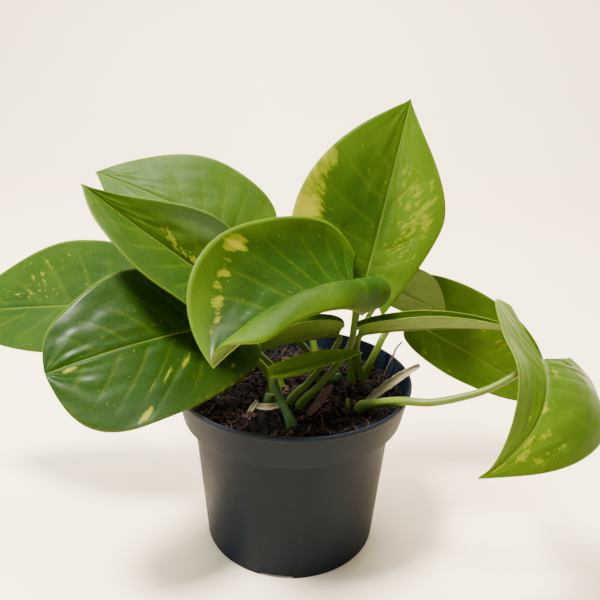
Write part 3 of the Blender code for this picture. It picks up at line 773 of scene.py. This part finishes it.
# %% Sheaths
SHEATH_CUP = 1.6 * MM
SHEATH_THICKNESS = 0.3 * MM
SHEATHS = {
    "sheath_tan": dict(path=((37, -12, 81.5), (46, -8, 88), (55, -4, 93), (64, 0, 96)), width=2.2,
                       face=(0.3, -0.8, 0.5), cup=0.6, slot="dry_sheath_pale"),
    "sheath_brown": dict(path=((7, -27, 82), (11, -22, 84), (15, -17, 87), (19, -13, 91)), width=2.0,
                         face=(0.6, -0.6, 0.5), cup=0.8, slot="dry_sheath_brown"),
    "sheath_crescent": dict(path=((-19, -20, 82), (-14, -24, 82), (-8, -23, 82), (-4, -19, 83)), width=1.8,
                            face=(0, -0.5, 1), cup=0.8, slot="dry_sheath_pale"),
    "sheath_spike": dict(path=((-21, -27, 82), (-19, -23, 83), (-17, -20, 85)), width=1.2,
                         face=(0.4, -0.6, 0.5), cup=0.3, slot="dry_sheath_pale"),
}


def sheath_finish(name, dark, light):
    finish = Finish(name, Specular_IOR_Level=0.3)
    fibre = finish.noise(finish.place((22, 2, 1), "strip"), 1.0, 4)
    blotch = finish.noise(finish.place(), 260, 3)
    colour = finish.mix((fibre * 0.8 + blotch * 0.5 - 0.2).ease(0.1, 0.9), dark, light)
    ends = finish.painted("dry")
    colour = finish.mix(ends * 0.8, colour, (0.10, 0.045, 0.02))
    return finish.wear(colour, 0.62 + blotch * 0.2, fibre, 0.15 * MM)


sheath_pale = sheath_finish("dry_sheath_pale", (0.12, 0.10, 0.040), (0.33, 0.29, 0.16))
sheath_brown = sheath_finish("dry_sheath_brown", (0.035, 0.014, 0.007), (0.14, 0.070, 0.036))


def make_sheath(name, spec, material):
    path = [Vector(p) * MM for p in spec["path"]]
    bm = bmesh.new()
    bm.loops.layers.uv.new("strip")
    dry = bm.verts.layers.float.new("dry")
    bmesh.ops.create_grid(bm, x_segments=14, y_segments=56, size=1, calc_uvs=True)
    for vert in bm.verts:
        along, across = (vert.co.y + 1) / 2, vert.co.x
        ahead = (bezier(path, min(along + 0.05, 1)) - bezier(path, max(along - 0.05, 0))).normalized()
        side = ahead.cross(Vector(spec["face"])).normalized()
        up = side.cross(ahead)
        fray = 1 + 0.25 * noise.noise(Vector((along * 14, across, 5)))
        reach = spec["width"] * MM * (0.35 + 0.65 * math.sin(math.pi * (0.15 + 0.8 * along))) * fray
        crimp = 0.25 * MM * noise.noise(Vector((along * 9, across * 2, 7)))
        vert[dry] = max(0, (along - 0.8) * 5) * (0.5 + 0.5 * abs(across))
        rise = spec["cup"] * SHEATH_CUP * across ** 2 + crimp
        vert.co = bezier(path, along) + side * across * reach + up * rise
    piece = keep(name + "_skin", bm, [material], name, slot=spec["slot"])
    skin = piece.modifiers.new("thickness", "SOLIDIFY")
    skin.thickness = SHEATH_THICKNESS
    skin.offset = 0


for name, spec in SHEATHS.items():
    make_sheath(name, spec, sheath_brown if spec["slot"] == "dry_sheath_brown" else sheath_pale)
print(len(SHEATHS), "sheaths")

# %% [markdown]
# ## Soil
#
# Potting mix is peat, bark and roots, nearly black when it is moist. One displaced disc would
# look like mud, and only loose grains like gravel. So it is built in two layers, as it looks
# in the pot: a turned body whose top is heaped by noise, and over it crumbs of peat, chips of
# bark, perlite and red-brown root fibres, all scattered from one seeded draw.

# %% Soil body
RIM_RADIUS = 60 * MM
POT_HEIGHT = 89.5 * MM
BAND_HEIGHT = 18 * MM
BAND_FOOT_RADIUS = 56 * MM
BODY_TOP_RADIUS = 50.7 * MM
BODY_FOOT_RADIUS = 45 * MM
POT_WALL = 1.3 * MM
FOOT_HEIGHT = 2.6 * MM
FOOT_WIDTH = 3 * MM
CENTRE_PAD_RADIUS = 11 * MM
GAP = 0.3 * MM
SOIL_HEIGHT = 80 * MM
BAND_STEP = POT_HEIGHT - BAND_HEIGHT
SOIL_FADE = 12 * MM


def turned(profile, steps):
    """A bmesh turned round the Z axis from a profile of (radius, height) points."""
    bm = bmesh.new()
    verts = [bm.verts.new((x, 0, z)) for x, z in profile]
    edges = [bm.edges.new(pair) for pair in zip(verts, verts[1:])]
    bmesh.ops.spin(bm, geom=verts + edges, cent=(0, 0, 0), axis=(0, 0, 1), angle=2 * math.pi,
                   steps=steps, use_merge=True)
    bmesh.ops.remove_doubles(bm, verts=bm.verts, dist=WELD)
    bmesh.ops.recalc_face_normals(bm, faces=bm.faces)
    return bm


def soil_edge(height):
    """The inner wall's radius at a height in the band, less a small gap."""
    slope = (RIM_RADIUS - BAND_FOOT_RADIUS) / BAND_HEIGHT
    return BAND_FOOT_RADIUS - POT_WALL + slope * (height - BAND_STEP) - 2 * GAP


def soil_top(x, y):
    """Height of the soil's surface: low waves, lumps, and a slope up against the wall."""
    waves = math.sin(x * 210 + 1.0) * math.cos(y * 170) + 0.6 * math.sin(x * 90 - y * 330)
    fade = min(1.0, max(0.0, (RIM_RADIUS - math.hypot(x, y)) / SOIL_FADE) - 0.2)
    place = Vector((x, y, 0))
    lumps = 1.3 * noise.noise(place * 260) + 0.8 * noise.noise(place * 620) + 0.4 * noise.noise(place * 1500)
    return SOIL_HEIGHT + (1.2 * fade * waves + lumps) * MM


def soil_finish():
    finish = Finish("potting_soil", Specular_IOR_Level=0.12)
    here = finish.place()
    grain, clod = finish.noise(here, 1400, 4), finish.noise(here, 300, 3)
    colour = finish.mix(grain.ease(0.35, 0.7), (0.0015, 0.0011, 0.0008), (0.0075, 0.0042, 0.0027))
    colour = finish.mix(clod.ease(0.58, 0.70) * 0.6, colour, (0.017, 0.007, 0.004))
    pits = finish.cells(here, 900).ease(0.0, 0.6)
    return finish.wear(colour, 0.86 - clod * 0.15, grain * 0.6 + pits, 0.6 * MM)


potting_soil = soil_finish()
floor_height = FOOT_HEIGHT + POT_WALL + GAP
RINGS = 70
profile = [(0, floor_height), (BODY_FOOT_RADIUS - POT_WALL - 2 * GAP, floor_height),
           (BODY_TOP_RADIUS - POT_WALL - 2 * GAP, BAND_STEP + 2 * GAP),
           (BAND_FOOT_RADIUS - POT_WALL - 3 * GAP, BAND_STEP + POT_WALL + 2 * GAP)]
profile += [(soil_edge(SOIL_HEIGHT) * (1 - k / RINGS), SOIL_HEIGHT) for k in range(RINGS + 1)]
bm = turned(profile, 200)
for vert in bm.verts:
    if vert.co.z > SOIL_HEIGHT - GAP:
        vert.co.z = soil_top(vert.co.x, vert.co.y)
keep("soil_body", bm, [potting_soil], "soil", slot="potting_soil")
print("soil surface at", SOIL_HEIGHT / MM, "mm")

# %% Crumbs, bark and perlite
random.seed(7)


def spot_on_soil(reach=0.985):
    """A random place on the soil's surface."""
    angle = random.uniform(0, 2 * math.pi)
    radius = soil_edge(SOIL_HEIGHT) * reach * math.sqrt(random.random())
    x, y = radius * math.cos(angle), radius * math.sin(angle)
    return Vector((x, y, soil_top(x, y)))


def random_turn():
    return Quaternion([random.gauss(0, 1) for _ in range(4)]).normalized().to_matrix().to_4x4()


def scatter(name, count, sizes, stretch, material, slot, squash=0.3):
    """Angular grains: each one is a squashed, stretched and dented 20-sided ball."""
    bm = bmesh.new()
    for _ in range(count):
        size = random.uniform(*sizes) * MM
        shape = Matrix.Diagonal((random.uniform(*stretch), 1, random.uniform(0.45, 0.9), 1))
        place = spot_on_soil() + Vector((0, 0, size * squash))
        grain = bmesh.ops.create_icosphere(bm, subdivisions=1, radius=size / 2,
                                           matrix=Matrix.Translation(place) @ random_turn() @ shape)
        for vert in grain["verts"]:
            vert.co += Vector([random.uniform(-0.12, 0.12) for _ in range(3)]) * size
    piece = keep(name, bm, [material], "soil", slot=slot)
    piece.data.set_sharp_from_angle(angle=math.radians(50))
    print(name, count)


def grain_finish(name, dark, light, roughness=0.85):
    finish = Finish(name, Specular_IOR_Level=0.3)
    grain = finish.noise(finish.place(), 700, 3)
    colour = finish.mix(grain.ease(0.35, 0.65), dark, light)
    return finish.wear(colour, roughness + grain * 0.1, grain, 0.2 * MM)


scatter("soil_crumbs", 1500, (0.8, 2.6), (0.8, 1.5), potting_soil, "potting_soil")
scatter("soil_bark", 90, (1.2, 3.2), (1.6, 2.8),
        grain_finish("bark_chip", (0.012, 0.005, 0.003), (0.060, 0.026, 0.013)), "potting_soil")
scatter("soil_perlite", 9, (0.5, 1.0), (0.9, 1.2),
        grain_finish("perlite", (0.24, 0.21, 0.16), (0.42, 0.39, 0.32)), "potting_soil")

# %% Root fibres in the soil
FIBRE_RINGS = 9


def fibre_bed(name, count, material):
    bm = bmesh.new()
    for _ in range(count):
        start = spot_on_soil(0.93) + Vector((0, 0, 0.3 * MM))
        heading = random.uniform(0, 2 * math.pi)
        reach = random.uniform(4, 15) * MM
        points = [start]
        for _ in range(3):
            heading += random.uniform(-0.9, 0.9)
            step = points[-1] + Vector((math.cos(heading), math.sin(heading), 0)) * reach / 3
            if step.xy.length > soil_edge(SOIL_HEIGHT) * 0.96:
                step = points[-1] * 1
                step.x *= 0.9
                step.y *= 0.9
            step.z = soil_top(step.x, step.y) + random.uniform(0.2, 1.8) * MM
            points.append(step)
        thick = random.uniform(0.10, 0.26) * MM
        strand = bmesh.ops.create_grid(bm, x_segments=4, y_segments=FIBRE_RINGS, size=1)["verts"]
        frames = carried_frames(points, FIBRE_RINGS)
        for vert in strand:
            ring = round((vert.co.y + 1) / 2 * FIBRE_RINGS)
            _, centre, up, side = frames[ring]
            angle = vert.co.x * math.pi
            radius = 0 if ring in (0, FIBRE_RINGS) else thick
            vert.co = centre + (up * math.cos(angle) + side * math.sin(angle)) * radius
        bmesh.ops.remove_doubles(bm, verts=strand, dist=0.005 * MM)
    bmesh.ops.recalc_face_normals(bm, faces=bm.faces)
    keep(name, bm, [material], "soil", slot="potting_soil")
    print(name, count)


fibre_bed("soil_fibres", 170, grain_finish("red_fibre", (0.034, 0.011, 0.006), (0.110, 0.042, 0.022), 0.7))

# %% [markdown]
# ## The nursery pot
#
# The pot is injection-moulded: a thin tapered wall, a wider band that lets a stack of pots
# stand apart, a rolled lip, and a foot ring with drain notches. A mould gives turned shapes,
# so the wall is one profile spun round the axis, with each outer corner rounded by a short
# arc as the mould's steel is. The notches and holes are then cut with boolean tools.

# %% Pot wall
def rounded(corners, radius, steps=4):
    """The corners of an outline, each one cut back and replaced by a short arc."""
    outline = [corners[0]]
    for before, corner, after in zip(corners, corners[1:], corners[2:]):
        before, corner, after = Vector(before), Vector(corner), Vector(after)
        reach = min(radius, (before - corner).length * 0.45, (after - corner).length * 0.45)
        start = corner + (before - corner).normalized() * reach
        end = corner + (after - corner).normalized() * reach
        outline += [tuple(bezier((start, corner, end), k / steps)) for k in range(steps + 1)]
    return outline + [corners[-1]]


def pot_finish():
    finish = Finish("pot_plastic", IOR=1.3, Specular_IOR_Level=0.12)
    here = finish.place()
    flow = finish.noise(finish.place((60, 60, 6)), 1.0, 3)
    grain, dust = finish.noise(here, 1800, 2), finish.noise(here, 60, 5, 0.65)
    colour = finish.mix(flow.ease(0.3, 0.7), (0.0036, 0.0062, 0.0104), (0.0046, 0.0077, 0.0126))
    colour = finish.mix(dust.ease(0.55, 0.80) * 0.35, colour, (0.012, 0.015, 0.019))
    specks = finish.cells(here, 170).ease(0.05, 0.09)
    colour = finish.mix((1 - specks) * 0.3, colour, (0.04, 0.04, 0.04))
    scratches = finish.noise(finish.place((40, 40, 900)), 1.0, 2).ease(0.68, 0.72)
    rough = 0.40 + dust * 0.16 + scratches * 0.10
    return finish.wear(colour, rough, grain * 0.5 + flow * 2.0 - scratches * 0.3, 0.05 * MM)


NOTCH_WIDTH = 17 * MM
NOTCH_HEIGHT = 1.6 * MM
NOTCHES = 4
DRAIN_HOLES = 6
DRAIN_RADIUS = 4 * MM
DRAIN_CIRCLE = 28 * MM
pot_plastic = pot_finish()
corners = [
    (0, 0), (CENTRE_PAD_RADIUS, 0), (CENTRE_PAD_RADIUS + 1 * MM, FOOT_HEIGHT),
    (BODY_FOOT_RADIUS - FOOT_WIDTH, FOOT_HEIGHT), (BODY_FOOT_RADIUS - FOOT_WIDTH + 0.5 * MM, 0),
    (BODY_FOOT_RADIUS, 0), (BODY_TOP_RADIUS, BAND_STEP - 1 * MM), (BAND_FOOT_RADIUS, BAND_STEP),
    (RIM_RADIUS - 0.8 * MM, POT_HEIGHT - 2.6 * MM), (RIM_RADIUS, POT_HEIGHT - 2 * MM),
    (RIM_RADIUS, POT_HEIGHT), (RIM_RADIUS - POT_WALL, POT_HEIGHT),
    (BAND_FOOT_RADIUS - POT_WALL, BAND_STEP + POT_WALL), (BODY_TOP_RADIUS - POT_WALL, BAND_STEP + 0.4 * MM),
    (BODY_FOOT_RADIUS - POT_WALL, FOOT_HEIGHT + POT_WALL), (0, FOOT_HEIGHT + POT_WALL)]
pot = keep("pot_shell", turned(rounded(corners, 0.7 * MM), 180), [pot_plastic], "pot", slot="pot_plastic")
print("pot wall turned,", len(pot.data.polygons), "faces")


# %% Notches and drain holes
def cut(piece, bm):
    """Subtract a cutter's bmesh from the piece and keep the result as its mesh."""
    mesh = bpy.data.meshes.new("cutter")
    bm.to_mesh(mesh)
    bm.free()
    cutter = bpy.data.objects.new("cutter", mesh)
    bpy.context.collection.objects.link(cutter)
    tool = piece.modifiers.new("cut", "BOOLEAN")
    tool.operation = "DIFFERENCE"
    tool.object = cutter
    bpy.context.view_layer.update()
    result = bpy.data.meshes.new_from_object(piece.evaluated_get(bpy.context.evaluated_depsgraph_get()))
    piece.modifiers.remove(tool)
    piece.data = result
    bpy.data.objects.remove(cutter)


tools = bmesh.new()
for k in range(NOTCHES):
    angle = 2 * math.pi * k / NOTCHES - math.pi / 2 - math.radians(8)
    block = bmesh.ops.create_cube(tools, size=1)["verts"]
    bmesh.ops.scale(tools, vec=(FOOT_WIDTH * 3, NOTCH_WIDTH, 2 * NOTCH_HEIGHT), verts=block)
    bmesh.ops.translate(tools, vec=(BODY_FOOT_RADIUS, 0, 0), verts=block)
    bmesh.ops.rotate(tools, cent=(0, 0, 0), matrix=Matrix.Rotation(angle, 3, "Z"), verts=block)
for k in range(DRAIN_HOLES):
    angle = 2 * math.pi * (k + 0.5) / DRAIN_HOLES
    drill = bmesh.ops.create_cone(tools, cap_ends=True, segments=32, radius1=DRAIN_RADIUS,
                                  radius2=DRAIN_RADIUS, depth=10 * MM)["verts"]
    place = (DRAIN_CIRCLE * math.cos(angle), DRAIN_CIRCLE * math.sin(angle), FOOT_HEIGHT)
    bmesh.ops.translate(tools, vec=place, verts=drill)
cut(pot, tools)
pot.data.shade_smooth()
pot.data.set_sharp_from_angle(angle=math.radians(30))
print(NOTCHES, "notches and", DRAIN_HOLES, "drain holes cut")

# %% [markdown]
# ## Floor and light
#
# The plant stands on a plain pale floor. A warm light overhead, a little to the left, throws
# the soft shadow; a cool window low on the left gives the waxy blades and the pot their sheen;
# a lamp behind washes the backdrop; and a weak lamp on the right and a pale sky fill the rest.

# %% Floor
def floor_finish():
    finish = Finish("floor_white", Specular_IOR_Level=0.3)
    cloud = finish.noise(finish.place(), 4, 3)
    colour = finish.mix(cloud.ease(0.3, 0.7), (0.78, 0.64, 0.43), (0.80, 0.66, 0.45))
    return finish.wear(colour, 0.55 + cloud * 0.1)


SWEEP_START = 0.9             # the floor turns up into a backdrop this far behind the pot
SWEEP_RADIUS = 0.6
WALL_HEIGHT = 2.0
HALF_WIDTH = 3.0
FLOOR_FRONT = -3.0
profile = [(FLOOR_FRONT, 0)]
profile += [(SWEEP_START + SWEEP_RADIUS * math.sin(a), SWEEP_RADIUS * (1 - math.cos(a)))
            for a in (math.radians(6 * k) for k in range(16))]
profile += [(SWEEP_START + SWEEP_RADIUS, WALL_HEIGHT)]
bm = bmesh.new()
verts = [bm.verts.new((-HALF_WIDTH, y, z)) for y, z in profile]
edges = [bm.edges.new(pair) for pair in zip(verts, verts[1:])]
side = bmesh.ops.extrude_edge_only(bm, edges=edges)["geom"]
far_side = [v for v in side if isinstance(v, bmesh.types.BMVert)]
bmesh.ops.translate(bm, vec=(2 * HALF_WIDTH, 0, 0), verts=far_side)
bmesh.ops.recalc_face_normals(bm, faces=bm.faces)
mesh = bpy.data.meshes.new("floor")
bm.to_mesh(mesh)
bm.free()
mesh.materials.append(floor_finish())
mesh.shade_smooth()
floor = bpy.data.objects.new("floor", mesh)
bpy.context.collection.objects.link(floor)

# %% Light
def lamp(name, place, aim, width, power, colour):
    """A square soft light that looks at a point."""
    light = bpy.data.lights.new(name, "AREA")
    light.shape = "SQUARE"
    light.size = width
    light.energy = power
    light.color = colour
    obj = bpy.data.objects.new(name, light)
    obj.location = place
    obj.rotation_euler = (Vector(aim) - Vector(place)).to_track_quat("-Z", "Y").to_euler()
    bpy.context.collection.objects.link(obj)


lamp("ceiling_light", (-0.34, -0.16, 1.25), (0, 0, 0.1), 0.24, 90.0, (1.0, 0.96, 0.90))
lamp("window", (-1.15, -0.30, 0.50), (0, 0, 0.1), 0.9, 20.0, (0.62, 0.82, 1.0))
lamp("wall_wash", (0, 0.75, 1.9), (0, 1.5, 0.5), 1.2, 150.0, (0.97, 0.98, 1.0))
lamp("room_fill", (0.7, -1.0, 0.8), (0, 0, 0.1), 1.2, 6.0, (1.0, 0.96, 0.91))
world = bpy.data.worlds.new("pale_sky")
world.use_nodes = True
sky = world.node_tree.nodes["Background"]
sky.inputs["Color"].default_value = (1.0, 0.98, 0.95, 1)
sky.inputs["Strength"].default_value = 0.5
bpy.context.scene.world = world
print("floor, 4 lamps and sky")
